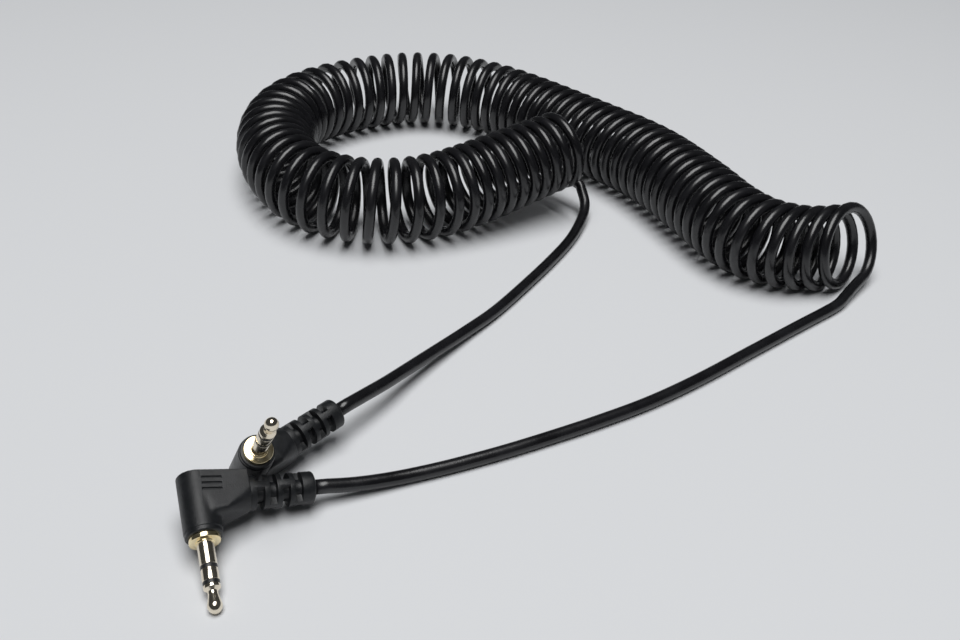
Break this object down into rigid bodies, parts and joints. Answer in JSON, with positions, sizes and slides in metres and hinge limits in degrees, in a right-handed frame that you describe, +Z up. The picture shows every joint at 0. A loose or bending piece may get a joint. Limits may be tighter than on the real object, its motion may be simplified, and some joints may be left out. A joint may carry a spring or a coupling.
{
  "type": "cable shutter release",
  "caption": "Curly black cord with a moulded right-angle pin plug at each end, which carries a camera's focus and shutter signals from a trigger.",
  "frame": {"origin": "the middle of the box round the plugs, on the floor that the cable lies on", "axes": "+Z up; +Y away from the viewer, across the coil; +X to the viewer's right, along the way that the cord leaves the plugs"},
  "size_m": [0.1491, 0.19, 0.0239],
  "materials": {
    "overmould": "moulded black PVC, satin with a fine grain",
    "cord_jacket": "glossy black PVC jacket",
    "gilt_sleeve": "polished gilt brass, paler on the pin",
    "pin_contact": "polished, pale champagne plating",
    "pin_insulator": "black moulded insulator",
    "inner_mould": "dark grey low-pressure moulding",
    "red_wire": "red insulation with a soldered end",
    "white_wire": "white insulation with a soldered end",
    "copper_wire": "bare twisted copper with a soldered end"
  },
  "bodies": {
    "root": {"tip_contact_a": "pin_contact", "tip_insulator_a": "pin_insulator", "ring_contact_a": "pin_contact", "ring_insulator_a": "pin_insulator", "sleeve_contact_a": "gilt_sleeve", "inner_mould_a": "inner_mould", "plug_body_a": "overmould", "strain_relief_a": "overmould", "tip_wire_a": "red_wire", "ring_wire_a": "white_wire", "ground_wire_a": "copper_wire", "cord_end_a": "cord_jacket", "tip_contact_b": "pin_contact", "tip_insulator_b": "pin_insulator", "ring_contact_b": "pin_contact", "ring_insulator_b": "pin_insulator", "sleeve_contact_b": "gilt_sleeve", "inner_mould_b": "inner_mould", "plug_body_b": "overmould", "strain_relief_b": "overmould", "tip_wire_b": "red_wire", "ring_wire_b": "white_wire", "ground_wire_b": "copper_wire", "cord_end_b": "cord_jacket", "cord_tail_a": "cord_jacket", "curly_cord": "cord_jacket", "cord_tail_b": "cord_jacket"}
  },
  "joints": []
}
